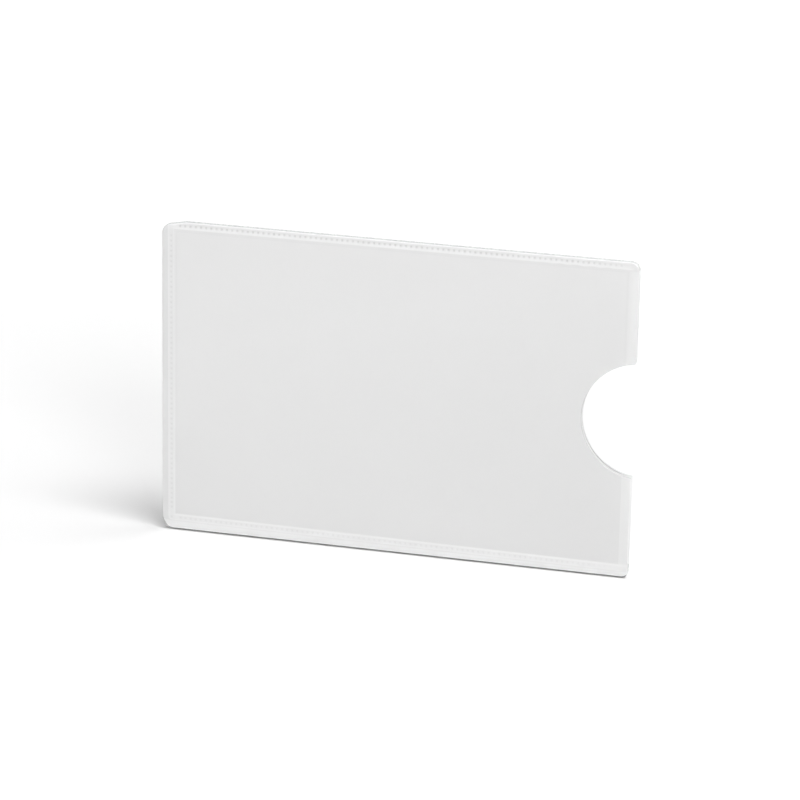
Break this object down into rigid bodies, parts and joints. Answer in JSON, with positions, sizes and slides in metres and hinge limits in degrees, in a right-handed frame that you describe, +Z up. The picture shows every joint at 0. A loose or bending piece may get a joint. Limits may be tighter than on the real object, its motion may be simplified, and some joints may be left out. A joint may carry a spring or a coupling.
{
  "type": "credit card holder",
  "caption": "Thin welded plastic card sleeve with an open short side and a round thumb notch.",
  "frame": {"origin": "middle of the underside of the long bottom edge that the holder stands on", "axes": "+X along the holder towards its open mouth, +Y from the front face to the back face, +Z up the short sides"},
  "size_m": [0.09, 0.0016, 0.061],
  "materials": {
    "film": "satin frosted film",
    "liner": "matte opaque sheet",
    "fused_film": "smooth where it melted"
  },
  "bodies": {
    "root": {"front_film": "film", "back_film": "film", "front_liner": "liner", "back_liner": "liner", "weld_rim": "fused_film"}
  },
  "joints": []
}
